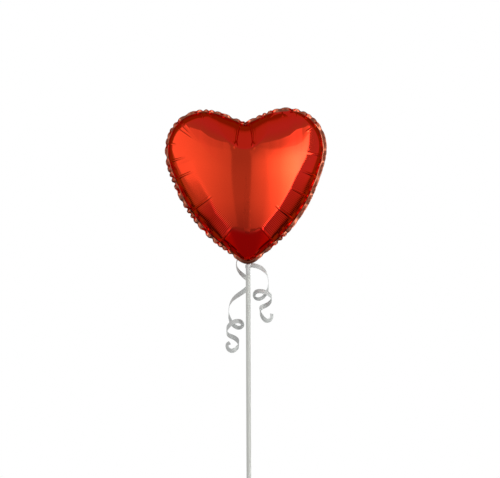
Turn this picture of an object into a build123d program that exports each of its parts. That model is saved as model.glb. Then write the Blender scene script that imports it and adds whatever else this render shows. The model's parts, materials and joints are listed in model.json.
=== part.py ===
from build123d import *
import math
import os

# Heart-shaped foil balloon on a hollow stick, bound with a curling ribbon. Millimetres.
# The origin is the centre of the stick's foot, +Z runs up the stick, the front faces -Y
# and +X is to the right as seen from the front.

# Stick
stick_length = 330.0
stick_diameter = 5.6
bore_diameter = 2.8
spigot_diameter = 4.0  # the necked-down top end that the filling neck goes over
spigot_length = 12.0

# Heart
heart_width = 194.0  # over the welded rim, inflated
heart_height = 187.7  # from the tip to the tops of the lobes
heart_depth = 88.0  # through the crown, front to back
heart_lean = 1.07  # degrees, to the left
crown_height = 107.0  # of the thickest point, above the tip
rim_width = 3.5  # flat welded rim outside the bulge
rim_thickness = 0.3  # of one film's half of the rim
film_thickness = 0.5  # of the inflated film, thicker than real film so that it is a sound solid
rim_reach = 0.4  # how far the flat rim runs into the inflated film's wall
tip_gap = 0.3  # between the heart's tip and the top of the gathered neck
neck_over_stick = 0.7  # how far the gathered neck stands above the stick

# Gathered neck
neck_thickness = 0.3  # the pleats of one film, pressed together
neck_clearance = 0.1  # round the spigot, so that the neck turns on it
step_gap = 0.3  # between the neck's lower edge and the stick's step

# Valve inside the heart
valve_width = 14.0
valve_length = 42.0
valve_mouth = 3.0  # width at the lower end
valve_thickness = 0.2
valve_gap = 0.03  # between the two valve films
valve_seat_gap = 1.1  # from the bulge's lowest point up to the valve's lower end

# Ribbon
ribbon_width = 5.6
wrap_turns = 2
wrap_clearance = 0.05
wrap_thickness = 0.25
wrap_crown = 0.12  # how far each turn swells at its middle
knot_width = 7.0
knot_depth = 8.0
knot_height = 6.2
knot_gap = 0.05  # between the knot and the turns
knot_below_tip = 3.0  # of the knot's centre
knot_round = 1.2
left_curl_diameter = 19.0
left_curl_length = 56.0
right_curl_diameter = 19.4
right_curl_length = 43.0
curl_round = 3.0

spigot_foot = stick_length - spigot_length
neck_top = stick_length + neck_over_stick
tip_z = neck_top + tip_gap
stick_radius = stick_diameter / 2
neck_inner = spigot_diameter / 2 + neck_clearance
neck_outer = neck_inner + neck_thickness
wrap_inner = neck_outer + wrap_clearance
wrap_outer = wrap_inner + wrap_thickness
knot_z = tip_z - knot_below_tip
knot_back = wrap_outer + knot_gap + knot_depth
ribbon_radius = ribbon_width / 2

# Right half of the heart's outline from the tip to the cleft, as shares of half the width and of
# the height
outline_shape = [
    (0.0, 0.0),
    (0.186, 0.052),
    (0.433, 0.161),
    (0.655, 0.293),
    (0.804, 0.418),
    (0.912, 0.551),
    (1.0, 0.751),
    (0.866, 0.921),
    (0.505, 1.0),
    (0.206, 0.961),
    (0.0, 0.914),
]
samples = 14  # along half the outline, closer together towards the tip and the cleft
levels = [0.0, 0.1, 0.25, 0.42, 0.6, 0.76, 0.88, 0.96]  # shares of the bulge's height


def half_outline():
    points = [(x * heart_width / 2, z * heart_height) for x, z in outline_shape]
    return Spline(*points, tangents=[(1, 0), (-1, -0.45)])


def inset_half(distance):
    """Points of the right half of the outline, moved inwards, from the tip to the cleft."""
    edge = half_outline()
    points = []
    for i in range(samples + 1):
        along = (1 - math.cos(math.pi * i / samples)) / 2
        place = edge @ along
        way = edge % along
        points.append((place.X - way.Y * distance, place.Y + way.X * distance))
    tip = points[0][1]
    # the cleft's two sides meet on the centre line
    before, last = points[-2], points[-1]
    slope = (last[1] - before[1]) / (last[0] - before[0])
    points[0] = (0.0, tip)
    points[-1] = (0.0, before[1] - slope * before[0])
    return points


def closed_wire(half, y):
    """A closed smooth wire through a right half and its mirror image, at depth y."""
    right = [Vector(x, y, z) for x, z in half]
    left = [Vector(-x, y, z) for x, z in reversed(half[1:-1])]
    return Wire([Edge.make_spline(right + left, periodic=True)])


def bulge_section(weld, level, height):
    """The weld line drawn in towards the crown, rounder and rounder as the level rises."""
    half = []
    for x, z in weld:
        away = Vector(x, z - crown_height)
        reach = away.length
        downwards = max(0.0, -away.Y / reach)
        steepness = 2.0 - 0.9 * downwards**6  # the tip rises in a slope, the flanks upright
        share = math.sqrt(1 - level**steepness)
        rounder = 0.45 * level**2
        cleft_reach = weld[-1][1] - crown_height
        new_reach = share * ((1 - rounder) * reach + rounder * cleft_reach)
        half.append((x * new_reach / reach, crown_height + (z - crown_height) * new_reach / reach))
    return closed_wire(half, -height * level)


def bulge(inset, height):
    """One side's pillow, from the seam plane to the crown."""
    weld = inset_half(inset)
    sections = [bulge_section(weld, level, height) for level in levels]
    return Solid.make_loft(sections + [Vertex(0, -height, crown_height)])


def rim_ring():
    """One film's half of the flat welded rim, from the outline in to the bulge's wall."""
    outer = Face(closed_wire(inset_half(0.0), 0.0))
    inner = Face(closed_wire(inset_half(rim_width + rim_reach), 0.0))
    return extrude(outer, rim_thickness, dir=(0, -1, 0)) - extrude(inner, rim_thickness, dir=(0, -1, 0))


def lean(shape):
    """Stands a shape, drawn upright on its tip, on the neck with the heart's lean."""
    return Pos(0, 0, tip_z) * Rot(0, -heart_lean, 0) * shape


def front_film():
    """The inflated front film with its half of the welded rim, upright with its tip at the origin."""
    outer = bulge(rim_width, heart_depth / 2)
    inner = bulge(rim_width + film_thickness, heart_depth / 2 - film_thickness)
    return (outer - inner) + rim_ring()


def turned_to_back(shape):
    """The back film's shape: the same left and right, so half a turn does it."""
    return Rot(0, 0, 180) * shape


def tube(outer, inner, foot, top):
    """An upright round tube on the stick's axis."""
    height = top - foot
    wall = Cylinder(outer, height, align=(Align.CENTER, Align.CENTER, Align.MIN))
    wall -= Cylinder(inner, height, align=(Align.CENTER, Align.CENTER, Align.MIN))
    return Pos(0, 0, foot) * wall


def stick():
    shank = tube(stick_radius, bore_diameter / 2, 0.0, spigot_foot)
    spigot = tube(spigot_diameter / 2, bore_diameter / 2, spigot_foot, stick_length)
    return shank + spigot


def neck_film(side):
    """One film's half of the gathered neck: side -1 is the front, 1 the back."""
    whole = tube(neck_outer, neck_inner, spigot_foot + step_gap, neck_top)
    half = Pos(0, side * stick_diameter / 2, spigot_foot) * Box(
        2 * stick_diameter, stick_diameter, 4 * spigot_length
    )
    return whole & half


def valve_film():
    """One film of the valve: narrow where it passes the neck, straight above."""
    weld_tip = inset_half(rim_width + film_thickness)[0][1]
    foot = weld_tip + valve_seat_gap
    shoulder = foot + valve_width
    outline = Polyline(
        (-valve_mouth / 2, foot),
        (valve_mouth / 2, foot),
        (valve_width / 2, shoulder),
        (valve_width / 2, foot + valve_length),
        (-valve_width / 2, foot + valve_length),
        (-valve_width / 2, shoulder),
        close=True,
    )
    sheet = Plane.XZ * make_face(outline)
    return Pos(0, -valve_gap / 2, 0) * extrude(sheet, valve_thickness, dir=(0, -1, 0))


def ribbon_wrap():
    """The ribbon's turns round the neck, each slightly crowned."""
    foot = spigot_foot + step_gap
    turn = (knot_z - foot) / wrap_turns
    edge = wrap_outer - wrap_crown
    outline = [Polyline((edge, knot_z), (wrap_inner, knot_z), (wrap_inner, foot), (edge, foot))]
    for i in range(wrap_turns):
        low = foot + i * turn
        outline.append(ThreePointArc((edge, low), (wrap_outer, low + turn / 2), (edge, low + turn)))
    return revolve(Plane.XZ * make_face(outline), Axis.Z)


def ribbon_knot():
    block = Box(knot_width, knot_depth, knot_height)
    block = fillet(block.edges().filter_by(Axis.Z), knot_round)
    return Pos(0, knot_back - knot_depth / 2, knot_z) * block


def corner_radii(points):
    """For each inner point, 0.45 of its shorter run over the tangent of half the turn."""
    radii = []
    for before, corner, after in zip(points, points[1:], points[2:]):
        run_in = Vector(corner) - Vector(before)
        run_out = Vector(after) - Vector(corner)
        half_turn = math.radians(run_in.get_angle(run_out) / 2)
        radii.append(0.45 * min(run_in.length, run_out.length) / math.tan(half_turn))
    return radii


def ribbon_lead(name, route):
    """A tube as thick as the ribbon is wide, along runs joined by tangent arcs."""
    points = [(x, y, tip_z + z) for x, y, z in route]
    radii = corner_radii(points)
    path = FilletPolyline(*points, radius=radii)
    start = Plane(origin=points[0], z_dir=Vector(points[1]) - Vector(points[0]))
    tube = sweep(start * Circle(ribbon_radius), path=path)
    expected = math.pi * ribbon_radius**2 * path.length
    print(name, "radii", [round(r, 1) for r in radii])
    print(name, "length", round(path.length, 1), "volume", round(tube.volume, 1), "of", round(expected, 1))
    return tube


def ribbon_curl(centre_x, centre_y, top, diameter, length):
    """The closed outer shape of a curled ribbon end, hanging from its top face."""
    body = Cylinder(diameter / 2, length, align=(Align.CENTER, Align.CENTER, Align.MAX))
    body = fillet(body.edges().sort_by(Axis.Z)[0], curl_round)
    return Pos(centre_x, centre_y, tip_z + top) * body


knot_top = knot_height / 2 - knot_below_tip

# Routes of the two ribbon ends from the knot: x, y, and z above the heart's tip
left_route = [
    (-0.6, knot_back - ribbon_radius, knot_top),
    (-0.6, knot_back - ribbon_radius, 4.6),
    (-2.0, 10.9, 7.8),
    (-5.6, 14.6, 9.4),
    (-10.4, 15.9, 8.0),
    (-14.0, 14.8, 4.2),
    (-14.6, 12.4, -1.0),
    (-12.9, 10.4, -6.2),
    (-9.8, 9.0, -10.8),
    (-5.8, 8.5, -14.6),
    (-1.0, 8.5, -17.6),
    (3.4, 8.8, -21.0),
    (3.9, 9.3, -26.2),
    (0.0, 9.9, -30.4),
    (-6.0, 10.4, -33.6),
    (-12.2, 10.4, -37.4),
    (-17.2, 9.8, -42.0),
    (-19.0, 9.2, -47.6),
    (-19.0, 9.2, -52.4),
]
right_route = [
    (knot_width / 2, knot_back - knot_depth / 2, -1.6),
    (8.2, knot_back - knot_depth / 2, -1.6),
    (13.6, 7.2, -3.2),
    (18.8, 8.4, -6.9),
    (22.6, 8.8, -12.2),
    (24.8, 8.6, -18.4),
    (24.3, 8.2, -24.6),
    (24.3, 8.2, -29.6),
]
left_curl_place = (-17.4, 9.4)
right_curl_place = (20.3, 8.4)

film = front_film()
valve = valve_film()
parts = {
    "stick": stick(),
    "front_film": lean(film),
    "back_film": lean(turned_to_back(film)),
    "valve_front_film": lean(valve),
    "valve_back_film": lean(turned_to_back(valve)),
    "neck_front_film": neck_film(-1),
    "neck_back_film": neck_film(1),
    "ribbon_wrap": ribbon_wrap(),
    "ribbon_knot": ribbon_knot(),
    "ribbon_lead_left": ribbon_lead("left lead", left_route),
    "ribbon_lead_right": ribbon_lead("right lead", right_route),
    "ribbon_curl_left": ribbon_curl(*left_curl_place, left_route[-1][2], left_curl_diameter, left_curl_length),
    "ribbon_curl_right": ribbon_curl(
        *right_curl_place, right_route[-1][2], right_curl_diameter, right_curl_length
    ),
}

os.makedirs("parts", exist_ok=True)
for name, shape in parts.items():
    export_step(shape, f"parts/{name}.step")
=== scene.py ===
import bpy
import json
import math
import numpy as np
from mathutils import Matrix, Vector
from mathutils.kdtree import KDTree

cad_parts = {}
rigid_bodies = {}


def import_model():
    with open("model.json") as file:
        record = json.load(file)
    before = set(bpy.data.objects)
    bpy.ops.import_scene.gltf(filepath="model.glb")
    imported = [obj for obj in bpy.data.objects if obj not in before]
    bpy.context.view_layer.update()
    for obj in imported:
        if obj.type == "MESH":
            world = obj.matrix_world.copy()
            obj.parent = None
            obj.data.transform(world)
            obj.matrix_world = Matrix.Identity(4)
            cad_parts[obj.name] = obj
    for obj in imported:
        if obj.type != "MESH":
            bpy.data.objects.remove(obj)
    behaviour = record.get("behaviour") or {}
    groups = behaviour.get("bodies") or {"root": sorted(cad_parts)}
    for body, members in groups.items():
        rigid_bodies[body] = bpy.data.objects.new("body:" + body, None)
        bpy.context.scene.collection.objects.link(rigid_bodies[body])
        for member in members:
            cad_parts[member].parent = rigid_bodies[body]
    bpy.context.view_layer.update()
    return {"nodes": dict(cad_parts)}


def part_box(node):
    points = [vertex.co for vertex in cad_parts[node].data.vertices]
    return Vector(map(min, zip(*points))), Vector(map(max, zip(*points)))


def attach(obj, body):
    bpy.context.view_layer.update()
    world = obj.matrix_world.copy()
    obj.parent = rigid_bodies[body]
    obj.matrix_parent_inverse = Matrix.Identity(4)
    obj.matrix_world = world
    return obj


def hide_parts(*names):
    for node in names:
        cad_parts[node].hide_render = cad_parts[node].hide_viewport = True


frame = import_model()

mm = 0.001
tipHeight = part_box("neck_front_film")[1].z + 0.3 * mm  # the heart's tip stands just clear of the neck


def plainSelection():
    if bpy.context.object and bpy.context.object.mode != "OBJECT":
        bpy.ops.object.mode_set(mode="OBJECT")
    bpy.ops.object.select_all(action="DESELECT")


def makeActive(obj):
    plainSelection()
    obj.select_set(True)
    bpy.context.view_layer.objects.active = obj
    return obj


def newMesh(name, points, faces, smooth=True):
    mesh = bpy.data.meshes.new(name)
    mesh.from_pydata([tuple(p) for p in points], [], faces)
    mesh.update()
    obj = bpy.data.objects.new(name, mesh)
    bpy.context.collection.objects.link(obj)
    if smooth:
        mesh.shade_smooth()
    return obj


def outwardNormals(obj):
    makeActive(obj)
    bpy.ops.object.mode_set(mode="EDIT")
    bpy.ops.mesh.select_all(action="SELECT")
    bpy.ops.mesh.normals_make_consistent(inside=False)
    bpy.ops.object.mode_set(mode="OBJECT")


def addNode(tree, kind, place, **values):
    node = tree.nodes.new(kind)
    node.location = place
    for name, value in values.items():
        setattr(node, name, value)
    return node


# The camera; the cords' routes below were measured against its view

cameraSettings = {
    "lens": 110.0,
    "viewWidth": 0.6025,  # of the picture at the heart
    "aim": (0.00247, 0.0, 0.3612),
    "roll": 0.22,
}


def makeCamera(s):
    data = bpy.data.cameras.new("camera")
    data.lens = s["lens"]
    data.sensor_width = 36.0
    away = s["viewWidth"] * s["lens"] / data.sensor_width
    camera = bpy.data.objects.new("camera", data)
    camera.location = (s["aim"][0], s["aim"][1] - away, s["aim"][2])
    camera.rotation_euler = (math.radians(90), math.radians(s["roll"]), 0)
    data.clip_end = 100
    bpy.context.collection.objects.link(camera)
    bpy.context.scene.camera = camera


makeCamera(cameraSettings)
print("camera done")

# Curling ribbon: two tails, each one smooth line from the knot to its cut end

ribbon = {
    "width": 5.6 * mm,
    "thickness": 0.22 * mm,
    "cup": 0.04,  # how far it is cupped, as a share of its width
    "across": 5,  # points across it
    "stepsPerTurn": 14,
}

# Routes in millimetres above the heart's tip, each point with the way the outer face looks.
# A curl's rows: degrees turned, x of its middle line, height, radius, tilt, and how far the face
# turns front or back
leftTail = {
    "name": "ribbon_tail_left",
    "route": [
        ((-0.6, 7.95, 0.1), (1.0, 0.2, 0.0)),
        ((-0.6, 7.95, 4.6), (1.0, 0.2, 0.2)),
        ((-1.9, 12.0, 7.2), (0.6, 0.1, 0.8)),
        ((-5.4, 16.2, 8.8), (0.1, 0.1, 1.0)),
        ((-10.4, 17.5, 7.6), (-0.4, 0.2, 0.9)),
        ((-14.0, 16.0, 4.0), (-0.9, 0.2, 0.4)),
        ((-14.4, 12.4, -1.0), (-1.0, 0.2, 0.0)),
        ((-12.9, 10.4, -6.2), (-0.9, 0.5, -0.3)),
        ((-9.6, 9.0, -10.8), (-0.6, 0.8, -0.4)),
        ((-5.4, 8.5, -14.4), (-0.4, 1.0, -0.3)),
        ((-1.2, 8.5, -17.6), (0.3, 1.0, -0.1)),
        ((1.4, 8.8, -21.4), (0.9, 0.5, 0.2)),
        ((1.5, 9.3, -26.0), (1.0, -0.1, 0.2)),
        ((-1.4, 9.9, -30.0), (0.6, -0.8, 0.3)),
        ((-6.6, 10.4, -34.0), (0.3, -0.9, 0.3)),
        ((-13.6, 10.4, -38.4), (-0.4, -0.9, 0.3)),
        ((-19.8, 9.8, -43.6), (-0.9, -0.5, 0.2)),
        ((-23.4, 9.3, -50.8), (-1.0, -0.1, 0.0)),
    ],
    "turns": 2.16,
    "hand": -1,
    "start": 180.0,
    "middle": 9.3,
    "curl": [
        (0, -15.1, -58.8, 8.8, 128, 0.0), (90, -15.4, -67.5, 9.2, 105, -1.3),
        (180, -15.8, -73.6, 9.4, 76, -0.9), (270, -16.6, -76.8, 9.3, 54, -1.3),
        (360, -17.5, -80.9, 9.2, 37, 0.0), (450, -18.2, -87.0, 8.4, 14, 0.3),
        (540, -19.0, -98.0, 7.6, -8, 0.0), (630, -18.9, -101.2, 7.5, -32, -0.5),
        (720, -18.8, -98.5, 7.4, -54, -1.0), (778, -18.6, -101.0, 7.2, -69, -1.5),
    ],
}
rightTail = {
    "name": "ribbon_tail_right",
    "route": [
        ((3.5, 6.75, -1.6), (0.1, -1.0, 0.2)),
        ((7.6, 6.75, -1.7), (0.1, -1.0, 0.2)),
        ((13.2, 7.2, -3.4), (0.2, -1.0, 0.3)),
        ((18.6, 8.4, -6.6), (0.5, -0.8, 0.4)),
        ((22.6, 8.8, -11.4), (1.0, -0.3, 0.2)),
        ((24.4, 8.6, -17.6), (1.0, 0.0, 0.1)),
    ],
    "turns": 2.05,
    "hand": 1,
    "start": 0.0,
    "middle": 8.4,
    "curl": [
        (0, 15.5, -24.0, 9.4, 100, 0.0), (90, 15.8, -32.6, 9.8, 88, -1.2),
        (180, 16.8, -38.0, 10.0, 68, -0.7), (270, 17.3, -40.6, 10.4, 47, -1.2),
        (360, 18.2, -41.3, 10.6, 36, 0.0), (450, 19.8, -48.0, 8.6, 23, 0.3),
        (540, 21.2, -58.0, 7.1, -10, 0.0), (630, 21.7, -64.0, 7.3, -45, -0.6),
        (738, 21.7, -62.5, 7.2, -75, -0.9),
    ],
}


def curlPoint(s, turn):
    degrees = 360 * turn
    rows = np.array(s["curl"], float)
    x, z, reach, tilt, turnOut = [float(np.interp(degrees, rows[:, 0], column)) for column in rows.T[1:]]
    angle = math.radians(s["start"] + s["hand"] * degrees)
    tilt = math.radians(tilt)
    sine = math.sin(angle)
    outward = Vector((math.cos(angle), sine * math.cos(tilt), -sine * math.sin(tilt)))
    place = Vector((x, s["middle"], z)) + outward * reach
    return place, (outward + Vector((0, turnOut, 0))).normalized()


def splineLine(name, points):
    curve = bpy.data.curves.new(name, "CURVE")
    curve.dimensions = "3D"
    line = curve.splines.new("NURBS")
    line.points.add(len(points) - 1)
    for point, place in zip(line.points, points):
        point.co = (*place, 1.0)
    line.order_u = 3
    line.use_endpoint_u = True
    line.resolution_u = 6
    holder = bpy.data.objects.new(name, curve)
    bpy.context.collection.objects.link(holder)
    mesh = bpy.data.meshes.new_from_object(holder)
    path = [v.co.copy() for v in mesh.vertices]
    bpy.data.meshes.remove(mesh)
    bpy.data.objects.remove(holder)
    bpy.data.curves.remove(curve)
    return path


def smoothFacings(facings, count):
    # a quadratic spline's control point i has most weight at i - 0.5
    last = len(facings) - 1
    peaks = [0.0] + [i - 0.5 for i in range(1, last)] + [last - 1.0]
    along = np.linspace(0, last - 1.0, count)
    rows = np.array([tuple(f) for f in facings])
    return [Vector([float(np.interp(a, peaks, column)) for column in rows.T]).normalized() for a in along]


def ribbonStrip(s, name, path, facings):
    width, across, count = s["width"], s["across"], len(path)
    points, faces = [], []
    for i, place in enumerate(path):
        ahead = path[min(i + 1, count - 1)] - path[max(i - 1, 0)]
        side = ahead.cross(facings[i]).normalized()
        out = side.cross(ahead).normalized()
        for face in (1, -1):
            for k in range(across):
                u = face * (2 * k / (across - 1) - 1)
                lift = -s["cup"] * width * u * u + face * s["thickness"] / 2
                points.append(place + side * (u * width / 2) + out * lift)
    loop = 2 * across
    for i in range(count - 1):
        for k in range(loop):
            a, b = i * loop + k, i * loop + (k + 1) % loop
            faces.append((a, b, b + loop, a + loop))
    faces.append(tuple(reversed(range(loop))))
    faces.append(tuple(range((count - 1) * loop, count * loop)))
    obj = newMesh(name, points, faces)
    outwardNormals(obj)
    bpy.ops.object.shade_smooth_by_angle(angle=math.radians(40))
    layer = obj.data.uv_layers.new(name="ribbonUV")
    along = np.cumsum([0.0] + [(b - a).length for a, b in zip(path, path[1:])])
    for loopItem in obj.data.loops:
        step, k = divmod(loopItem.vertex_index, loop)
        u = k if k < across else loop - 1 - k
        layer.data[loopItem.index].uv = (u / (across - 1) * width, along[step])
    return obj


def makeTail(s):
    points = [Vector(p) for p, f in s["route"]]
    facings = [Vector(f).normalized() for p, f in s["route"]]
    steps = round(s["turns"] * ribbon["stepsPerTurn"])
    for i in range(steps + 1):
        place, outward = curlPoint(s, s["turns"] * i / steps)
        points.append(place)
        facings.append(outward)
    inFrame = [p * mm + Vector((0, 0, tipHeight)) for p in points]
    path = splineLine(s["name"], inFrame)
    strip = ribbonStrip(ribbon, s["name"], path, smoothFacings(facings, len(path)))
    length = sum((b - a).length for a, b in zip(path, path[1:]))
    print(s["name"], "length", round(length, 4))
    return strip, path, length


tails = []
for s, nodes in (
    (leftTail, ("ribbon_lead_left", "ribbon_curl_left")),
    (rightTail, ("ribbon_lead_right", "ribbon_curl_right")),
):
    strip, path, length = makeTail(s)
    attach(strip, "tie")
    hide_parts(*nodes)
    tails.append(strip)
print("ribbon tails done")

# The foil heart, in its own millimetres: x from its middle line, z above its tip
heart = {
    "width": 194.0,
    "height": 187.7,
    "depth": 88.0,
    "lean": 1.07,
    "rim": 3.5,  # flat welded edge outside the inflated part
    "film": 0.12,
    "columns": 920,
    "rings": 84,
    "innerRings": 9,
    "widest": 107.0,  # height of the thickest place
    "acrossCurve": 0.0040,  # how fast the middle panel falls away sideways
    "lowerCurve": 0.0037,  # and downwards
    "tipSlope": 0.66,
    "foldSlope": 0.22,  # how steep it is at the lower of the two upper folds
    "betweenFolds": (0.26, 0.10),  # slope and gain in slope between the two
    "lobeFall": (0.36, 0.015),  # slope and curve above them
    "rimHeight": 12.0,  # how far the film stands up 6 mm inside the weld
    "rimReach": 3.3,
    "cornerSoft": 0.45,
    "wallInset": 2.3,  # the inner wall behind the film, and at the thickest place
    "topInset": 2.5,
    "sway": 0.28,  # how much of the ruffle carries on into the inflated part
    "swayReach": 2.2,  # and how far
    "squareStart": 0.35,  # how straight the columns leave the weld before they turn to the middle
    "spread": (0.3, 0.5),  # how much wider the rim is low on the right and on the left
}

# Right half of the outline from the tip to the cleft, as shares of half the width and of the height
outlineShape = [
    (0.0, 0.0), (0.186, 0.052), (0.433, 0.161), (0.655, 0.293), (0.804, 0.418), (0.912, 0.551),
    (1.0, 0.751), (0.866, 0.921), (0.505, 1.0), (0.206, 0.961), (0.0, 0.914),
]
cleftWay = (-1, -0.45)  # the outline's direction where it runs into the cleft


def smoothThrough(points, startWay, endWay, perSpan):
    # a curve with steady curvature through the points
    p = np.array(points, float)
    gaps = np.linalg.norm(np.diff(p, axis=0), axis=1)
    n = len(p)
    a, b = np.zeros((n, n)), np.zeros((n, 2))
    a[0, 0] = a[-1, -1] = 1
    b[0] = np.array(startWay) / np.linalg.norm(startWay)
    b[-1] = np.array(endWay) / np.linalg.norm(endWay)
    for i in range(1, n - 1):
        a[i, i - 1], a[i, i], a[i, i + 1] = gaps[i], 2 * (gaps[i - 1] + gaps[i]), gaps[i - 1]
        b[i] = 3 * (gaps[i] * (p[i] - p[i - 1]) / gaps[i - 1] + gaps[i - 1] * (p[i + 1] - p[i]) / gaps[i])
    m = np.linalg.solve(a, b)
    out = []
    for i in range(n - 1):
        t = np.linspace(0, 1, perSpan, endpoint=False)[:, None]
        out.append((2 * t**3 - 3 * t**2 + 1) * p[i] + (t**3 - 2 * t**2 + t) * gaps[i] * m[i]
                   + (3 * t**2 - 2 * t**3) * p[i + 1] + (t**3 - t**2) * gaps[i] * m[i + 1])
    out.append(p[-1:])
    return np.concatenate(out)


def evenly(line, count, weight=None):
    steps = np.linalg.norm(np.diff(line, axis=0), axis=1)
    if weight is not None:
        steps = steps * weight
    along = np.concatenate([[0], np.cumsum(steps)])
    want = np.linspace(0, along[-1], count)
    return np.stack([np.interp(want, along, line[:, k]) for k in range(line.shape[1])], 1)


def weldHalf(s):
    corners = [(x * s["width"] / 2, z * s["height"]) for x, z in outlineShape]
    half = smoothThrough(corners, (1, 0), cleftWay, 60)
    way = np.gradient(half, axis=0)
    way /= np.linalg.norm(way, axis=1)[:, None]
    inset = half + np.stack([-way[:, 1], way[:, 0]], 1) * s["rim"]
    keep = inset[:, 0] > 0  # on its own side of the middle line
    keep[0] = True
    inset = inset[keep]
    inset[0, 0] = 0.0
    last, before = inset[-1], inset[-2]
    foot = last + (last - before) * (-last[0] / (last[0] - before[0]))
    return np.concatenate([inset, [foot]])


mirrored = np.array([-1, 1])
fineHalf = evenly(weldHalf(heart), 1200)
fineLoop = np.concatenate([fineHalf[:-1], (fineHalf[::-1] * mirrored)[:-1]])
fineStep = np.linalg.norm(fineHalf[1] - fineHalf[0])
fineWay = np.roll(fineLoop, -1, axis=0) - np.roll(fineLoop, 1, axis=0)
fineWay /= np.linalg.norm(fineWay, axis=1)[:, None]
share = np.linspace(0, 1, len(fineHalf) - 1)
# columns stand closer together along the ribbed flanks
dense = 1 + 1.3 / (1 + np.exp(-(share - 0.07) / 0.015)) / (1 + np.exp((share - 0.43) / 0.015))
weldRightSide = evenly(fineHalf, heart["columns"] // 2 + 1, dense)
weld = np.concatenate([weldRightSide[:-1], (weldRightSide[::-1] * mirrored)[:-1]])
widest = np.array([0.0, heart["widest"]])

edgeTree = KDTree(len(fineLoop))
for i, point in enumerate(fineLoop):
    edgeTree.insert((point[0], point[1], 0), i)
edgeTree.balance()


def edgeOf(flat):
    # nearest place on the weld: how far along its half from the tip, how far in, and which half
    found = np.array([edgeTree.find((p[0], p[1], 0))[1:] for p in flat])
    index = found[:, 0].astype(int)
    offset = flat - fineLoop[index]
    ahead = (offset * fineWay[index]).sum(1)
    square = np.abs(offset[:, 0] * fineWay[index][:, 1] - offset[:, 1] * fineWay[index][:, 0])
    depth = np.where(np.abs(ahead) < 0.6 * fineStep, square, found[:, 1])
    last = len(fineHalf) - 1
    onRight = index < last
    along = np.where(onRight, index, 2 * last - index) * fineStep
    along = along + np.clip(ahead, -fineStep, fineStep) * np.where(onRight, 1, -1)
    return along, depth, onRight


def softStep(x, edge, width):
    return 1 / (1 + np.exp(-(x - edge) / width))


# Where the upper lobes begin to turn away: height over x of the lower and the upper soft fold
lowerArc = [(-90, 172), (-83, 166.6), (-68, 154.7), (-54.6, 146), (-39, 139.6), (-26, 137), (-12, 139),
            (0, 139.5), (12, 139), (28, 135.7), (40, 136), (60, 140), (68, 144.5), (76.6, 156), (86, 165),
            (92, 172)]
upperArc = [(-90, 176), (-65, 164.5), (-52, 160), (-44, 153.5), (-35, 148.6), (-24, 145.3), (-12, 144.6),
            (0, 143.5), (10, 141.9), (25, 143.5), (40, 147), (52.7, 152), (61, 159), (72, 162.5), (92, 176)]
# and the fold above the tip
tipArc = [(-40, 50), (-17.8, 43.0), (-8.2, 40.2), (1.9, 38.2), (10, 39.4), (18.3, 43.0), (40, 50)]


def lookUp(table, x):
    return np.interp(x, *zip(*table))


def panelHeight(flat):
    # the large smooth middle of the film, which curves mostly sideways
    x, z = flat[:, 0], flat[:, 1]
    low = lookUp(lowerArc, x)
    high = np.maximum(lookUp(upperArc, x), low + 4)
    top = heart["widest"]
    below = np.clip(top - z, 0, None)
    first = np.clip(z - top, 0, low - top)
    second = np.clip(z - low, 0, high - low)
    third = np.clip(z - high, 0, None)
    # under its lower fold the film runs straight down to the tip
    tipPart = np.clip(lookUp(tipArc, x) - z, 0, None)
    drop = heart["lowerCurve"] * (below - tipPart) ** 2 + heart["tipSlope"] * tipPart
    drop = drop + heart["foldSlope"] * first**2 / (2 * (low - top))
    slope, gain = heart["betweenFolds"]
    drop = drop + slope * second + gain * second**2 / (2 * (high - low))
    slope, curve = heart["lobeFall"]
    drop = drop + slope * third + curve * third**2
    return heart["depth"] / 2 - heart["acrossCurve"] * x**2 - drop


# Inner edge of the straight-sided flanks: place along the half, distance in, and x and z there
rightFlank = [(0, 28, 2, 43), (39, 22.5, 18.3, 43.1), (75, 24.5, 37, 68), (107, 24.5, 52.7, 89),
              (134, 24.5, 60, 105), (160, 23, 69, 127.5)]
leftFlank = [(0, 28, -2, 43), (40, 22, -17.8, 42.7), (70, 23.2, -35.5, 62.4), (90, 28.9, -41.1, 79.4),
             (132, 28.4, -57.3, 111.1), (149, 31.8, -59.3, 126.8)]
halfLength = 294  # from the tip to the cleft
lobeSlopes = [(190, 1.0), (215, 1.05), (270, 1.05), (halfLength, 1.1)]  # place along the half, and slope


def flankSlope(s, table, along):
    heights = panelHeight(np.array([row[2:] for row in table], float))
    slopes = [(row[0], (h - s["rimHeight"]) / (row[1] - 6)) for h, row in zip(heights, table)]
    return lookUp(slopes + lobeSlopes, along)


def filmHeight(s, flat, along, depth, onRight):
    slope = np.where(onRight, flankSlope(s, rightFlank, along), flankSlope(s, leftFlank, along))
    taper = 1 - 0.85 * np.exp(-along / 9)  # the film runs in to the neck at the tip
    steep = (s["rimHeight"] - 6 * slope) / (1 - math.exp(-6 / s["rimReach"]))
    flank = slope * depth + steep * taper * (1 - np.exp(-depth / s["rimReach"]))
    panel = panelHeight(flat)
    soft = s["cornerSoft"]
    lower = np.minimum(panel, flank)
    return lower - soft * np.log(np.exp((lower - panel) / soft) + np.exp((lower - flank) / soft))


# Creases square to the weld: place along the half, length, depth and width
rightCreases = [(39, 22, 1, 0.9), (75, 28, 1.4, 1.0), (107, 24, 1.4, 1.0), (134, 20, 1.8, 1.0),
                (160, 19, 1.8, 1.0), (199, 15, 1.1, 0.9), (226, 11, 1.2, 0.9), (246, 8, 0.87, 0.9),
                (275, 26, 0.36, 0.9)]
leftCreases = [(41, 23, 1, 0.9), (92, 30, 1.6, 1.0), (135, 24, 1.9, 1.0), (157, 20, 1.9, 1.0),
               (179, 10, 1.7, 1.0), (201, 27, 1, 0.9), (207, 20, 0.51, 0.8), (214, 16, 0.65, 0.8),
               (240, 14, 1.3, 0.9)]
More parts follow.
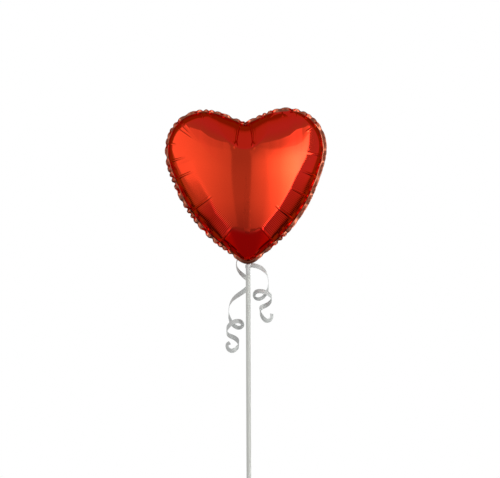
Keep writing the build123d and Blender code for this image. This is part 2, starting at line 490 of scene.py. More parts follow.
# The two creases down from the cleft, each ending in a pucker
cleftCreases = [[(6.2, 168), (8.3, 160.7), (9.2, 152), (9.5, 145), (9.4, 141)],
                [(-6.4, 168), (-8.8, 159.4), (-10.6, 148.6), (-11.4, 142)]]
cleftCrease = {"depth": 2.2, "shallower": 0.6, "width": 1.0}  # shallower by this at its end
puckers = {"places": [(9.4, 140.5), (-11.4, 141.3)], "depth": 0.9, "width": 2.1}
swelling = {"height": 0.8, "reach": 8}  # between one crease and the next
raisedLine = {"height": 0.26, "above": 0.6, "width": 1.5}  # along the fold above the tip
sunkenLine = {"depth": 0.10, "width": 1.1}  # along the upper fold
# Fine ribs on the flanks: first and last place along the half, and how far in they reach
ribs = {"pitch": 2.2, "height": 0.18, "right": (42, 133, 24.0), "left": (44, 134, 27.5)}
ruffle = {"pitch": 18.5, "swing": 52.0, "wander": (1.1, 53), "leftPhase": 2.1, "swellPitch": 37}


def groove(dist, width):
    return 1.4 * np.exp(-(dist / width) ** 2) - 0.4 * np.exp(-(dist / (2.3 * width)) ** 2)


def between(x, low, high, lowWidth, highWidth=None):
    return softStep(x, low, lowWidth) * (1 - softStep(x, high, highWidth or lowWidth))


def distanceAlong(flat, points):
    # how far each place is from a line through the points, and how far along the line that is
    best, share = np.full(len(flat), 1e9), np.zeros(len(flat))
    for k, (a, b) in enumerate(zip(points, points[1:])):
        a, b = np.array(a, float), np.array(b, float)
        t = np.clip((flat - a) @ (b - a) / ((b - a) @ (b - a)), 0, 1)
        dist = np.linalg.norm(flat - a - t[:, None] * (b - a), axis=1)
        share = np.where(dist < best, (k + t) / (len(points) - 1), share)
        best = np.minimum(best, dist)
    return best, share


def relief(flat, along, depth, onRight):
    x, z = flat[:, 0], flat[:, 1]
    out = np.zeros(len(flat))
    for creases, mine in ((rightCreases, onRight), (leftCreases, ~onRight)):
        for place, length, deep, wide in creases:
            fade = np.clip(1 - depth / length, 0, 1) ** 0.6
            out -= mine * deep * fade * groove(along - place, wide * (0.8 + 0.5 * depth / length))
        ends = np.array([0] + [row[0] for row in creases] + [halfLength])
        k = np.searchsorted(ends, along, side="right").clip(1, len(ends) - 1)
        u = np.clip((along - ends[k - 1]) / (ends[k] - ends[k - 1]), 0, 1)
        out += mine * swelling["height"] * np.sqrt(np.sin(math.pi * u)) * np.exp(-depth / swelling["reach"])
    for points in cleftCreases:
        dist, share = distanceAlong(flat, points)
        deep = cleftCrease["depth"] - cleftCrease["shallower"] * share
        out -= deep * groove(dist, cleftCrease["width"])
    for place in puckers["places"]:
        dist = np.linalg.norm((flat - place) * (1, 0.75), axis=1)
        out -= puckers["depth"] * groove(dist, puckers["width"])
    inside = softStep(depth, 9, 1.5)
    off = (z - lookUp(tipArc, x) - raisedLine["above"]) / raisedLine["width"]
    out += raisedLine["height"] * inside * (1 - softStep(along, 38, 0.8)) * np.exp(-(off**2))
    off = (z - lookUp(upperArc, x)) / sunkenLine["width"]
    out -= sunkenLine["depth"] * inside * softStep(np.abs(x), 13, 1) * np.exp(-(off**2))
    wave = np.cos(2 * math.pi * along / ribs["pitch"])
    for (low, high, inner), mine in ((ribs["right"], onRight), (ribs["left"], ~onRight)):
        zone = between(along, low, high, 1.5)
        out += mine * ribs["height"] * zone * between(depth, 6, inner, 0.8, 0.7) * wave
    return out


def ruffleAngle(s, along, onRight):
    phase = np.where(onRight, 0.0, s["leftPhase"])
    turn = 2 * math.pi * along
    amount, pitch = s["wander"]
    wave = np.sin(turn / s["pitch"] + amount * np.sin(turn / pitch + phase) + phase)
    wave = wave * np.abs(wave)  # rounded scallops with narrow folds between them
    calm = np.where(onRight, 1 - 0.6 * between(along, 60, 205, 8), 1.0)
    calm = calm * softStep(along, 12, 2)  # the tip stays flat
    swell = 0.8 + 0.2 * np.sin(turn / s["swellPitch"] + 2 * phase)
    return math.radians(s["swing"]) * wave * calm * swell


def setValues(obj, name, values):
    layer = obj.data.attributes.new(name, "FLOAT", "POINT")
    layer.data.foreach_set("value", values)


def makeFilm(s, name, side):
    n = len(weld)
    skin = s["film"]
    way = np.roll(weld, -1, axis=0) - np.roll(weld, 1, axis=0)
    way /= np.linalg.norm(way, axis=1)[:, None]
    outward = np.stack([way[:, 1], -way[:, 0]], 1)
    along, _, onRight = edgeOf(weld)
    bend = ruffleAngle(ruffle, along, onRight)
    lowRight = 1 + s["spread"][0] * between(along, 30, 215, 8, 10)
    lowLeft = 1 + s["spread"][1] * between(along, 30, 160, 8, 6)
    reach = s["rim"] * (0.86 + 0.14 * np.cos(2 * bend)) * np.where(onRight, lowRight, lowLeft)
    sway = s["rim"] * s["sway"] * np.sin(bend)

    rows = []
    for part in (1.0, 0.75, 0.5, 0.25):
        x, z = (weld + outward * (reach * part * np.cos(bend))[:, None]).T
        x = np.where(onRight, np.maximum(x, 0.02 * part), np.minimum(x, -0.02 * part))
        rows.append(np.column_stack([x, skin + (reach * part * np.sin(bend) + sway) * side, z]))
    rimRows = len(rows)
    flatRows = []
    for j in range(s["rings"]):
        t = 1 - math.cos(math.pi / 2 * j / s["rings"])
        bendPoint = weld - outward * s["squareStart"] * np.linalg.norm(weld - widest, axis=1)[:, None]
        flatRows.append((1 - t) ** 2 * weld + 2 * t * (1 - t) * bendPoint + t**2 * widest)
    flat = np.concatenate(flatRows)
    along, depth, onRight = edgeOf(flat)
    height = filmHeight(s, flat, along, depth, onRight) + skin
    bulge = np.column_stack([flat[:, 0], height, flat[:, 1]]).reshape(s["rings"], n, 3)
    ring = np.roll(bulge, -1, axis=1) - np.roll(bulge, 1, axis=1)
    normal = np.cross(np.gradient(bulge, axis=0), ring)
    normal /= np.linalg.norm(normal, axis=2)[:, :, None] + 1e-12
    normal *= np.sign(normal[s["rings"] // 2, 0, 1])
    lift = relief(flat, along, depth, onRight) * np.clip(depth / 2.0, 0, 1)
    bulge += normal * lift.reshape(s["rings"], n, 1)
    bulge[:, :, 1] = np.maximum(bulge[:, :, 1], skin)
    sways = np.tile(sway, s["rings"]) * np.exp(-depth / s["swayReach"])
    bulge[:, :, 1] += sways.reshape(s["rings"], n) * side
    rows += list(bulge)

    inner = [rows[0] - [0, skin, 0]]
    for j in range(s["innerRings"]):
        t = 1 - math.cos(math.pi / 2 * j / s["innerRings"])
        place = weld * (1 - t) + widest * t
        wall = filmHeight(s, place, *edgeOf(place)) - s["wallInset"] * min(1, 3 * t)
        wall = np.maximum(wall - skin, 0.0) + sway * side * (1 - t) ** 8
        inner.append(np.column_stack([place[:, 0], wall, place[:, 1]]))
    top = np.array([[0.0, s["depth"] / 2 + skin, s["widest"]]])
    points = np.concatenate([*rows, top, *inner, top - [0, s["topInset"] + skin, 0]])
    points[:, 1] *= side

    start = len(rows) * n + 1
    end = start + len(inner) * n
    faces = []
    for i in range(n):
        k = (i + 1) % n
        for a in range(0, (len(rows) - 1) * n, n):
            faces.append((a + i, a + k, a + n + k, a + n + i))
        for a in range(start, end - n, n):
            faces.append((a + k, a + i, a + n + i, a + n + k))
        faces.append((start - 1 - n + i, start - 1 - n + k, start - 1))
        faces.append((end - n + k, end - n + i, end))
        faces.append((k, i, start + i, start + k))  # the cut edge of the rim
    if side > 0:
        faces = [tuple(reversed(f)) for f in faces]
    lean = math.radians(-s["lean"])
    x = points[:, 0] * math.cos(lean) + points[:, 2] * math.sin(lean)
    z = points[:, 2] * math.cos(lean) - points[:, 0] * math.sin(lean)
    film = newMesh(name, np.column_stack([x * mm, points[:, 1] * mm, z * mm + tipHeight]), faces)

    # how much painted shade of the welded edge each place takes, which also makes the weld duller and more
    # crinkled: half gives its flat part a darker brownish tint in place of the dark room it mirrors, one the
    # painted dark line just inside the weld
    rimAlong = edgeOf(weld)[0]
    rimEnd = rimRows * n
    nearTip = 1 - softStep(rimAlong, 9, 1.5)
    # painted shade at the rim: the flat edge's tint everywhere, turning to the painted dark edge at the tip
    rimPaintedShade = 0.5 + 0.35 * nearTip
    # painted dark line just inside the weld, strongest from 22 to 118 along the half
    line = 0.55 + 0.45 * between(rimAlong, 22, 118, 3, 6)
    values = np.zeros(len(points), np.float32)
    values[:rimEnd] = np.tile(rimPaintedShade, rimRows)
    values[rimEnd : start - 1] = np.tile(line, s["rings"]) * np.exp(-((depth / 1.5) ** 2))
    values[start : start + n] = rimPaintedShade
    setValues(film, "weldDullAndPaintedShade", values)
    # and painted shade where the film falls away steeply: a deeper red tint stands in for the darker
    # reflections there, deepest under the fold at the tip
    steep = np.full(len(points), 0.5, np.float32)
    steep[:rimEnd] = np.tile(0.5 + 0.5 * nearTip, rimRows)
    # painted shade by how far the film turns away from the front, less of it along the middle of the left side
    facing = np.abs(normal[:, :, 1]).reshape(-1)
    flankShadeShare = 0.5 * between(facing, 0.56, 0.885, 0.03)
    flankShadeShare *= np.where(onRight, 1.0, 1 - 0.85 * between(along, 88, 215, 4, 8))
    underFold = lookUp(tipArc, flat[:, 0]) - flat[:, 1]
    tipPart = softStep(underFold, 1.5, 0.9) * (1 - softStep(along, 39.5, 0.8))
    steep[rimEnd : start - 1] = flankShadeShare * (1 - tipPart) + tipPart
    steep[start - 1] = 0
    setValues(film, "flankAndTipPaintedShade", steep)
    return film


frontFilm = makeFilm(heart, "foil_front", -1)
backFilm = makeFilm(heart, "foil_back", 1)


def plainMaterial(name, **sockets):
    mat = bpy.data.materials.new(name)
    mat.use_nodes = True
    shader = mat.node_tree.nodes["Principled BSDF"]
    for socket, value in sockets.items():
        shader.inputs[socket.replace("_", " ")].default_value = value
    return mat, mat.node_tree, shader


def addNoise(tree, source, scale, detail=2.0, stretch=None):
    if stretch:
        mapping = addNode(tree, "ShaderNodeMapping", (-900, 0))
        mapping.inputs["Scale"].default_value = stretch
        tree.links.new(source, mapping.inputs["Vector"])
        source = mapping.outputs["Vector"]
    noise = addNode(tree, "ShaderNodeTexNoise", (-700, 0))
    noise.inputs["Scale"].default_value, noise.inputs["Detail"].default_value = scale, detail
    tree.links.new(source, noise.inputs["Vector"])
    return noise.outputs["Fac"]


def addTones(tree, value, tones, spots):
    ramp = addNode(tree, "ShaderNodeValToRGB", (-450, 150))
    while len(ramp.color_ramp.elements) < len(tones):
        ramp.color_ramp.elements.new(0.5)
    for stop, tone, spot in zip(ramp.color_ramp.elements, tones, spots):
        stop.color, stop.position = tone, spot
    tree.links.new(value, ramp.inputs["Fac"])
    return ramp.outputs["Color"]


def addScaled(tree, value, times, plus):
    node = addNode(tree, "ShaderNodeMath", (-400, -100), operation="MULTIPLY_ADD")
    tree.links.new(value, node.inputs[0])
    node.inputs[1].default_value = times
    if isinstance(plus, float):
        node.inputs[2].default_value = plus
    else:
        tree.links.new(plus, node.inputs[2])
    return node.outputs[0]


def addBump(tree, shader, value, strength, deep):
    bump = addNode(tree, "ShaderNodeBump", (-300, -350))
    bump.inputs["Strength"].default_value, bump.inputs["Distance"].default_value = strength, deep
    tree.links.new(value, bump.inputs["Height"])
    tree.links.new(bump.outputs["Normal"], shader.inputs["Normal"])
    return bump


foilLook = {
    "tint": (0.86, 0.057, 0.018, 1),
    # painted shade: deeper reds where the film falls away steeply and under the fold at the tip, in place of
    # the darker reflections there
    "flankPaintedShade": (0.86, 0.026, 0.017, 1),
    "tipPaintedShade": (1.0, 0.006, 0.004, 1),
    "flatWeldPaintedShade": (0.41, 0.112, 0.066, 1),  # painted shade: the flat welded edge tinted darker and browner in place of the dark room it mirrors
    "weldLinePaintedShade": (0.018, 0.002, 0.0015, 1),  # painted shade: the dark line just inside the weld and the dark edge at the tip
    "edgeTint": (0.92, 0.42, 0.07, 1),
    "roughness": 0.085,
    "weldRoughness": 0.16,  # what the weld adds to it
    "patches": (26, 3),  # scale and detail of the lacquer's slight unevenness
    "patchTones": ((0.93, 0.93, 0.93, 1), (1, 1, 1, 1)),
    "patchRoughness": 0.03,
    "crinkle": (420, 2),
    "crinkleDepth": 0.4 * mm,
    "crinkleStrength": 0.012,
    "weldCrinkle": 0.2,
}


def foilMaterial(s):
    mat, tree, shader = plainMaterial("red_foil", Metallic=1.0, Specular_Tint=s["edgeTint"])
    place = addNode(tree, "ShaderNodeTexCoord", (-1300, 0)).outputs["Object"]
    weldDullAndPaintedShade, flankAndTipPaintedShade = [
        addNode(tree, "ShaderNodeAttribute", (-1100, row), attribute_name=name).outputs["Fac"]
        for row, name in ((500, "weldDullAndPaintedShade"), (300, "flankAndTipPaintedShade"))
    ]
    patches = addNoise(tree, place, *s["patches"])
    # painted shade: the tint deepens on the steep flanks and under the fold at the tip
    tintsWithPaintedShade = addTones(tree, flankAndTipPaintedShade, (s["tint"], s["flankPaintedShade"], s["tipPaintedShade"]), (0.0, 0.5, 1.0))
    lacquer = addNode(tree, "ShaderNodeMix", (-500, 200), data_type="RGBA", blend_type="MULTIPLY")
    lacquer.inputs["Factor"].default_value = 1.0
    tree.links.new(tintsWithPaintedShade, lacquer.inputs[6])
    tree.links.new(addTones(tree, patches, s["patchTones"], (0.0, 1.0)), lacquer.inputs[7])
    last = lacquer.outputs[2]
    # painted shade of the welded edge: a darker brownish tint on its flat part, then the painted dark line
    for k, (low, high, tint) in enumerate(((0.0, 0.5, "flatWeldPaintedShade"), (0.5, 1.0, "weldLinePaintedShade"))):
        part = addNode(tree, "ShaderNodeMapRange", (-600, 700 + 300 * k))
        part.inputs["From Min"].default_value, part.inputs["From Max"].default_value = low, high
        paintedWeldShadeMix = addNode(tree, "ShaderNodeMix", (-300 + 150 * k, 300), data_type="RGBA")
        paintedWeldShadeMix.inputs[7].default_value = s[tint]
        tree.links.new(weldDullAndPaintedShade, part.inputs["Value"])
        tree.links.new(part.outputs["Result"], paintedWeldShadeMix.inputs["Factor"])
        tree.links.new(last, paintedWeldShadeMix.inputs[6])
        last = paintedWeldShadeMix.outputs[2]
    tree.links.new(last, shader.inputs["Base Color"])
    # duller where it is welded, and faintly uneven everywhere
    dull = addScaled(tree, weldDullAndPaintedShade, s["weldRoughness"], s["roughness"])
    tree.links.new(addScaled(tree, patches, s["patchRoughness"], dull), shader.inputs["Roughness"])
    # the film's fine crinkle, stronger in the weld
    bump = addBump(tree, shader, addNoise(tree, place, *s["crinkle"]), 1.0, s["crinkleDepth"])
    tree.links.new(addScaled(tree, weldDullAndPaintedShade, s["weldCrinkle"], s["crinkleStrength"]), bump.inputs["Strength"])
    return mat


foil = foilMaterial(foilLook)
for film, node in ((frontFilm, "front_film"), (backFilm, "back_film")):
    film.data.materials.append(foil)
    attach(film, "heart")
    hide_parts(node)
print("heart done")


# The gathered filling neck under the heart: each film's half is pressed into pleats
neck = {"inner": 2.12, "outer": 2.4, "pleats": 9, "pleatDepth": 0.16, "foot": -12.35, "top": -0.35,
        "columns": 72, "rows": 14}


def makeNeck(s, name, side):
    points, faces = [], []
    rows, columns = s["rows"], s["columns"]
    for wall in (0, 1):
        for j in range(rows + 1):
            z = s["foot"] + (s["top"] - s["foot"]) * j / rows
            for i in range(columns + 1):
                angle = math.pi * i / columns
                waver = 0.35 * math.sin(0.9 * z)
                pleat = s["pleatDepth"] * (0.5 - 0.5 * math.cos(2 * s["pleats"] * angle + waver))
                radius = (s["inner"] if wall else s["outer"] - pleat) * mm
                x, y = radius * math.cos(angle), side * radius * math.sin(angle)
                points.append((x, y, z * mm + tipHeight))
    row = columns + 1
    back = row * (rows + 1)
    for j in range(rows):
        for i in range(columns):
            a = j * row + i
            faces.append((a, a + 1, a + 1 + row, a + row))
            faces.append((back + a + 1, back + a, back + a + row, back + a + 1 + row))
        for a, b in ((j * row, j * row + row), (j * row + columns + row, j * row + columns)):
            faces.append((a, b, back + b, back + a))
    for i in range(columns):
        faces.append((i + 1, i, back + i, back + i + 1))
        a = rows * row + i
        faces.append((a, a + 1, back + a + 1, back + a))
    if side > 0:
        faces = [tuple(reversed(f)) for f in faces]
    return newMesh(name, points, faces)


for side, name, node in ((-1, "neck_front", "neck_front_film"), (1, "neck_back", "neck_back_film")):
    piece = makeNeck(neck, name, side)
    outwardNormals(piece)
    bpy.ops.object.shade_smooth_by_angle(angle=math.radians(50))
    piece.data.materials.append(foil)
    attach(piece, "tie")
    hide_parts(node)
print("neck done")


def layRibbonMap(obj, mapOf):
    layer = obj.data.uv_layers.new(name="ribbonUV")
    for item in obj.data.loops:
        layer.data[item.index].uv = mapOf(obj.data.vertices[item.vertex_index].co)


# Ribbon wound round the neck: each turn overlaps the one below it
winding = {
    "inner": 2.45,
    "middle": 2.7,
    "outline": [(-12.5, 2.62), (-12.3, 2.72), (-9.4, 2.69), (-8.7, 2.60), (-8.68, 2.73), (-5.6, 2.70),
                (-5.0, 2.61), (-4.98, 2.74), (-2.0, 2.70), (-0.9, 2.66), (-0.45, 2.58)],
    "slant": 0.45,  # how far each turn is raised in front and lowered behind
}
bpy.ops.mesh.primitive_circle_add(vertices=64, radius=winding["inner"] * mm, fill_type="NOTHING",
                                  location=(0, 0, tipHeight + winding["outline"][0][0] * mm))
wound = bpy.context.object
wound.name = "ribbon_winding"
makeActive(wound)
bpy.ops.object.transform_apply(location=True, rotation=True, scale=True)
bpy.ops.object.mode_set(mode="EDIT")
bpy.ops.mesh.select_all(action="SELECT")
lastHeight, lastRadius = winding["outline"][0][0], winding["inner"]
for height, radius in winding["outline"] + [(winding["outline"][-1][0], winding["inner"])]:
    bpy.ops.mesh.extrude_region_move(TRANSFORM_OT_translate={"value": (0, 0, (height - lastHeight) * mm)})
    grow = radius / lastRadius
    bpy.ops.transform.resize(value=(grow, grow, 1), center_override=(0, 0, tipHeight + height * mm))
    lastHeight, lastRadius = height, radius
bpy.ops.mesh.select_all(action="DESELECT")
bpy.ops.mesh.select_non_manifold()
bpy.ops.mesh.bridge_edge_loops()
bpy.ops.mesh.select_all(action="SELECT")
bpy.ops.mesh.normals_make_consistent(inside=False)
bpy.ops.object.mode_set(mode="OBJECT")
for v in wound.data.vertices:
    height = (v.co.z - tipHeight) / mm
    ends = min(1, (height + 12.4) / 0.5, (-0.5 - height) / 0.5)
    v.co.z -= max(0, ends) * winding["slant"] * mm * v.co.y / (winding["middle"] * mm)
bpy.ops.object.shade_smooth_by_angle(angle=math.radians(35))
layRibbonMap(wound, lambda co: (co.z - tipHeight, math.atan2(co.y, co.x) * winding["middle"] * mm))
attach(wound, "tie")
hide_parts("ribbon_wrap")
print("winding done")

# The knot behind the stick: flat ribbon drawn tight in crossing bands over a packed middle
knot = {
    "centre": (0.0, 6.75, -3.0),
    "core": (2.7, 3.3, 2.35),
    "bands": [  # width, the oval's two radii, and the turns about x and y
        (4.4, 3.75, 2.85, (0, 90)),
        (3.8, 3.35, 3.55, (24, 32)),
        (3.4, 3.4, 3.75, (-14, -28)),
    ],
    "thickness": 0.34,
}
knotCentre = Vector(knot["centre"]) * mm + Vector((0, 0, tipHeight))
knotPieces = []
bpy.ops.mesh.primitive_uv_sphere_add(segments=36, ring_count=20, radius=mm, location=knotCentre)
core = bpy.context.object
makeActive(core)
bpy.ops.object.transform_apply(location=True, rotation=True, scale=True)
bpy.ops.object.mode_set(mode="EDIT")
bpy.ops.mesh.select_all(action="SELECT")
bpy.ops.transform.resize(value=knot["core"], center_override=knotCentre)
bpy.ops.object.mode_set(mode="OBJECT")
for v in core.data.vertices:  # packed folds
    off = v.co - knotCentre
    v.co = knotCentre + off * (1 + 0.06 * math.sin(5200 * off.x + 2600 * off.z))
knotPieces.append(core)
for width, first, second, turns in knot["bands"]:
    bpy.ops.mesh.primitive_circle_add(vertices=56, radius=mm, fill_type="NOTHING", location=knotCentre)
    band = bpy.context.object
    makeActive(band)
    bpy.ops.object.transform_apply(location=True, rotation=True, scale=True)
    bpy.ops.object.mode_set(mode="EDIT")
    bpy.ops.mesh.select_all(action="SELECT")
    bpy.ops.transform.resize(value=(second, first, 1), center_override=knotCentre)
    bpy.ops.transform.translate(value=(0, 0, -width / 2 * mm))
    for k in range(6):
        bpy.ops.mesh.extrude_region_move(TRANSFORM_OT_translate={"value": (0, 0, width / 6 * mm)})
    bpy.ops.object.mode_set(mode="OBJECT")
    for v in band.data.vertices:  # cupped across, and pinched where it turns under
        off = v.co - knotCentre
        across = off.z / (width / 2 * mm)
        pull = 1 - 0.12 * across**2
        pinch = 1 - 0.22 * (off.x / (second * mm)) ** 8
        v.co = knotCentre + Vector((off.x * pull, off.y * pull, off.z * pinch))
    turned = Matrix.Rotation(math.radians(turns[0]), 4, "X") @ Matrix.Rotation(math.radians(turns[1]), 4, "Y")
    band.matrix_world = Matrix.Translation(knotCentre) @ turned @ Matrix.Translation(-knotCentre)
    bpy.ops.object.transform_apply(location=True, rotation=True, scale=True)
    wall = band.modifiers.new("wall", "SOLIDIFY")
    wall.thickness = knot["thickness"] * mm
    wall.offset = 1
    bpy.ops.object.modifier_apply(modifier="wall")
    knotPieces.append(band)
plainSelection()
for piece in knotPieces:
    piece.select_set(True)
bpy.context.view_layer.objects.active = core
bpy.ops.object.join()
core.name = "ribbon_knot_tied"
outwardNormals(core)
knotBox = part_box("ribbon_knot")
for v in core.data.vertices:  # the knot keeps clear of the turns and the heart
    v.co.y = max(v.co.y, knotBox[0].y)
    v.co.z = min(v.co.z, knotBox[1].z)
bpy.ops.object.shade_smooth_by_angle(angle=math.radians(35))
layRibbonMap(core, lambda co: (co.x, co.y + co.z))
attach(core, "tie")
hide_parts("ribbon_knot")
print("knot done")

ribbonLook = {
    "tones": ((0.51, 0.51, 0.515, 1), (0.58, 0.58, 0.585, 1)),
    "spots": (0.3, 0.6),
    "roughness": 0.36,
    "lines": (1.0, 3, (5200, 60, 1)),  # scale, detail and stretch of the fine lines along it
    "bump": (0.2, 0.03 * mm),
}


def ribbonMaterial(s):
    mat, tree, shader = plainMaterial("grey_ribbon", Roughness=s["roughness"])
    uv = addNode(tree, "ShaderNodeUVMap", (-1100, 0), uv_map="ribbonUV")
    lines = addNoise(tree, uv.outputs["UV"], *s["lines"])
    tree.links.new(addTones(tree, lines, s["tones"], s["spots"]), shader.inputs["Base Color"])
    addBump(tree, shader, lines, *s["bump"])
    return mat


grey = ribbonMaterial(ribbonLook)
for piece in tails + [wound, core]:
    piece.data.materials.clear()
    piece.data.materials.append(grey)

stickLook = {
    "tones": ((0.52, 0.515, 0.50, 1), (0.60, 0.595, 0.58, 1)),
    "spots": (0.25, 0.62),
    "roughness": 0.32,
    "streakRoughness": 0.2,
    "lines": (1.0, 4, (900, 900, 6)),  # scale, detail and stretch of the drawn lines along it
    "bump": (0.3, 0.05 * mm),
}


def stickMaterial(s):
    mat, tree, shader = plainMaterial("stick_plastic", IOR=1.49)
    place = addNode(tree, "ShaderNodeTexCoord", (-1100, 0))
    lines = addNoise(tree, place.outputs["Object"], *s["lines"])
    tree.links.new(addTones(tree, lines, s["tones"], s["spots"]), shader.inputs["Base Color"])
    tree.links.new(addScaled(tree, lines, s["streakRoughness"], s["roughness"]), shader.inputs["Roughness"])
    addBump(tree, shader, lines, *s["bump"])
    return mat


valveLook = {
    "tones": ((0.74, 0.74, 0.72, 1), (0.86, 0.86, 0.84, 1)),
    "roughness": 0.38,
    "haze": 160,
    "bump": (0.2, 0.1 * mm),
}


def valveMaterial(s):
    mat, tree, shader = plainMaterial("valve_film", Roughness=s["roughness"])
    place = addNode(tree, "ShaderNodeTexCoord", (-900, 0))
    haze = addNoise(tree, place.outputs["Object"], s["haze"])
    tree.links.new(addTones(tree, haze, s["tones"], (0.0, 1.0)), shader.inputs["Base Color"])
    addBump(tree, shader, haze, *s["bump"])
    return mat


valve = valveMaterial(valveLook)
for node, mat in (("stick", stickMaterial(stickLook)), ("valve_front_film", valve), ("valve_back_film", valve)):
    for slot in frame["nodes"][node].material_slots:
        slot.material = mat
print("materials done")

# A pale floor under the stick that fades into the white studio
floorLook = {"size": 14.0, "pale": (0.9, 0.9, 0.9, 1), "fadeFrom": 0.12, "fadeTo": 0.44, "glow": 0.6}
bpy.ops.mesh.primitive_plane_add(size=floorLook["size"], location=(0, 0, 0))
floor = bpy.context.object
floor.name = "floor"
floor.visible_glossy = False


def floorMaterial(s):
    mat, tree, shader = plainMaterial("pale_floor", Base_Color=s["pale"], Roughness=0.7)
    out = tree.nodes["Material Output"]
    place = addNode(tree, "ShaderNodeTexCoord", (-900, 300))
    far = addNode(tree, "ShaderNodeVectorMath", (-700, 300), operation="LENGTH")
    tree.links.new(place.outputs["Object"], far.inputs[0])
    fade = addNode(tree, "ShaderNodeMapRange", (-500, 300), interpolation_type="SMOOTHSTEP")
    fade.inputs["From Min"].default_value, fade.inputs["From Max"].default_value = s["fadeFrom"], s["fadeTo"]
    fade.inputs["To Min"].default_value = s["glow"]
    tree.links.new(far.outputs["Value"], fade.inputs["Value"])
    glow = addNode(tree, "ShaderNodeEmission", (0, -300))
    mix = addNode(tree, "ShaderNodeMixShader", (300, 200))
    tree.links.new(fade.outputs["Result"], mix.inputs["Fac"])
    tree.links.new(shader.outputs["BSDF"], mix.inputs[1])
    tree.links.new(glow.outputs["Emission"], mix.inputs[2])
    tree.links.new(mix.outputs["Shader"], out.inputs["Surface"])
    return mat


floor.data.materials.append(floorMaterial(floorLook))
floor.visible_diffuse = False


def addGreys(tree, row, value, stops):
    node = addNode(tree, "ShaderNodeValToRGB", (-50, row))
    ramp = node.color_ramp
    ramp.elements.remove(ramp.elements[0])
    ramp.elements[0].position = stops[0][0]
    ramp.elements[0].color = (stops[0][1],) * 3 + (1,)
    for place, grey in stops[1:]:
        ramp.elements.new(place).color = (grey,) * 3 + (1,)
    tree.links.new(value, node.inputs[0])
    return node.outputs[0]


def addTimes(tree, place, first, second):
    node = addNode(tree, "ShaderNodeMath", place, operation="MULTIPLY")
    tree.links.new(first, node.inputs[0])
    tree.links.new(second, node.inputs[1])
    return node.outputs[0]


# What the foil mirrors: a soft grey room, dimmer below and behind; the camera itself sees white
room = {
    "upwards": [(0.0, 0.2), (0.06, 0.27), (0.12, 0.36), (0.22, 0.5), (0.3, 0.58), (0.5, 0.58),
                (0.65, 0.52), (1.0, 0.5)],
    "backwards": [(0.0, 0.8), (0.2, 0.85), (0.42, 1.0), (0.6, 1.0), (0.65, 0.5), (1.0, 0.48)],
    "darkSides": [(0.0, 0.0), (0.62, 0.0), (0.66, 0.8), (0.7, 0.8), (0.74, 0.0)],  # seen only below
    "below": [(0.0, 1.0), (0.3, 1.0), (0.38, 0.0)],
}


def makeRoom(s):
    world = bpy.data.worlds.new("studio")
    bpy.context.scene.world = world
    world.use_nodes = True
    tree = world.node_tree
    tree.nodes.clear()
    out = addNode(tree, "ShaderNodeOutputWorld", (800, 0))
    mix = addNode(tree, "ShaderNodeMixShader", (600, 0))
    path = addNode(tree, "ShaderNodeLightPath", (400, 300))
    seen = addNode(tree, "ShaderNodeBackground", (400, -200))
    lit = addNode(tree, "ShaderNodeBackground", (400, 0))
    for node in (seen, lit):
        node.inputs["Color"].default_value = (1, 1, 1, 1)
    place = addNode(tree, "ShaderNodeTexCoord", (-600, 0))
    split = addNode(tree, "ShaderNodeSeparateXYZ", (-400, 0))
    tree.links.new(place.outputs["Generated"], split.inputs[0])
    graded = {}
    axes = {"upwards": "Z", "backwards": "Y", "below": "Z", "darkSides": "Y"}
    for k, (name, axis) in enumerate(axes.items()):
        half = addScaled(tree, split.outputs[axis], 0.5, 0.5)
        graded[name] = addGreys(tree, 200 - 300 * k, half, s[name])
    both = addTimes(tree, (200, 0), graded["upwards"], graded["backwards"])
    dark = addTimes(tree, (200, -300), graded["below"], graded["darkSides"])
    remain = addNode(tree, "ShaderNodeMath", (350, -300), operation="SUBTRACT")
    remain.inputs[0].default_value = 1.0
    tree.links.new(dark, remain.inputs[1])
    tree.links.new(addTimes(tree, (380, 0), both, remain.outputs[0]), lit.inputs["Strength"])
    tree.links.new(path.outputs["Is Camera Ray"], mix.inputs["Fac"])
    tree.links.new(lit.outputs["Background"], mix.inputs[1])
    tree.links.new(seen.outputs["Background"], mix.inputs[2])
    tree.links.new(mix.outputs["Shader"], out.inputs["Surface"])


makeRoom(room)

# Two tall soft boxes in front, left and right, each graded across and upwards
softBoxes = [
    {"name": "softbox_left", "west": -88, "east": -16, "low": -57, "high": 46,
     "across": [(0.0, 1.1), (0.2, 1.1), (0.4, 1.0), (0.524, 0.84), (0.697, 0.59), (0.866, 0.41), (1.0, 0.34)],
     "upwards": [(0.0, 0.42), (0.2, 0.55), (0.36, 0.7), (0.48, 0.85), (0.6, 1.0), (0.7, 1.0), (0.78, 0.93),
                 (0.82, 0.78), (0.92, 0.74), (0.94, 0.25), (1.0, 0.2)]},
    {"name": "softbox_right", "west": 5.5, "east": 62.5, "low": -57, "high": 46,
     "across": [(0.0, 0.4), (0.05, 0.46), (0.3, 0.85), (0.54, 2.4), (0.72, 5.0), (0.85, 7.0), (1.0, 7.0)],
     "upwards": [(0.0, 0.35), (0.2, 0.5), (0.36, 0.66), (0.48, 0.82), (0.58, 1.0), (0.66, 0.95), (0.72, 0.62),
                 (0.78, 0.34), (0.82, 0.2), (0.92, 0.18), (0.94, 0.09), (1.0, 0.08)]},
]
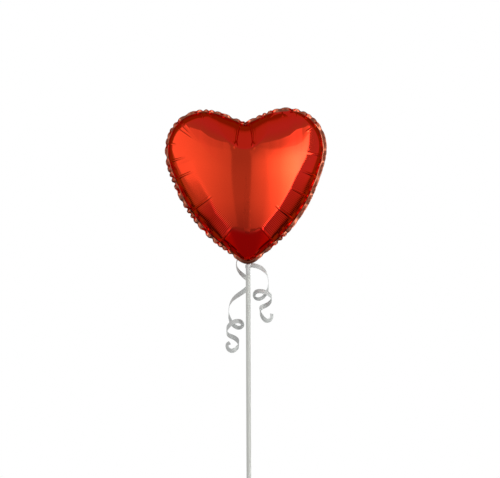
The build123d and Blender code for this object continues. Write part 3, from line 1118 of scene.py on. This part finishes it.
# Two dimmer ones behind, which light everything but the front film
backUpwards = [(0.0, 0.4), (0.35, 0.7), (0.6, 1.0), (0.85, 0.8), (1.0, 0.7)]
backBoxes = [
    {"name": "softbox_back_right", "west": 118, "east": 172, "low": -50, "high": 48,
     "across": [(0.0, 1.9), (0.3, 1.5), (0.7, 0.8), (1.0, 0.45)], "upwards": backUpwards},
    {"name": "softbox_back_left", "west": 190, "east": 246, "low": -50, "high": 48,
     "across": [(0.0, 0.4), (0.3, 0.7), (0.7, 1.3), (1.0, 1.6)], "upwards": backUpwards},
]
boxes = {"distance": 2.0, "wattsPerArea": 2.2, "aim": (0, 0, 0.43), "colour": (1.0, 1.05, 0.99, 1)}
litFromBehind = bpy.data.collections.new("lit_from_behind")
for obj in bpy.data.objects:
    if obj.type == "MESH" and obj not in (frontFilm, floor):
        litFromBehind.objects.link(obj)


def makeSoftBox(s):
    azimuth = math.radians((s["west"] + s["east"]) / 2)
    elevation = math.radians((s["low"] + s["high"]) / 2)
    data = bpy.data.lights.new(s["name"], "AREA")
    data.shape = "RECTANGLE"
    data.size = 2 * boxes["distance"] * math.tan(math.radians((s["east"] - s["west"]) / 2))
    data.size_y = 2 * boxes["distance"] * math.tan(math.radians((s["high"] - s["low"]) / 2))
    data.energy = boxes["wattsPerArea"] * data.size * data.size_y
    data.use_nodes = True
    tree = data.node_tree
    tree.nodes.clear()
    out = addNode(tree, "ShaderNodeOutputLight", (600, 0))
    shine = addNode(tree, "ShaderNodeEmission", (400, 0))
    shine.inputs["Color"].default_value = boxes["colour"]
    tree.links.new(shine.outputs[0], out.inputs[0])
    place = addNode(tree, "ShaderNodeNewGeometry", (-600, 0))
    split = addNode(tree, "ShaderNodeSeparateXYZ", (-400, 0))
    tree.links.new(place.outputs["Parametric"], split.inputs[0])
    parts = []
    for k, stops in enumerate((s["across"], s["upwards"])):
        brightest = max(value for spot, value in stops)  # a ramp itself goes up to one
        shares = [(spot, value / brightest) for spot, value in stops]
        ramp = addGreys(tree, 200 - 300 * k, split.outputs[k], shares)
        scale = addNode(tree, "ShaderNodeMath", (50, 200 - 300 * k), operation="MULTIPLY")
        scale.inputs[1].default_value = brightest
        tree.links.new(ramp, scale.inputs[0])
        parts.append(scale.outputs[0])
    tree.links.new(addTimes(tree, (200, 0), *parts), shine.inputs["Strength"])
    lamp = bpy.data.objects.new(s["name"], data)
    level = math.cos(elevation)
    back = Vector((math.sin(azimuth) * level, -math.cos(azimuth) * level, math.sin(elevation)))
    lamp.location = Vector(boxes["aim"]) + back * boxes["distance"]
    lamp.rotation_euler = (-back).to_track_quat("-Z", "Y").to_euler()
    lamp.visible_camera = False
    bpy.context.collection.objects.link(lamp)
    return lamp


for s in softBoxes:
    makeSoftBox(s)
for s in backBoxes:
    makeSoftBox(s).light_linking.receiver_collection = litFromBehind
bpy.context.scene.view_settings.view_transform = "Standard"
print("lights done")
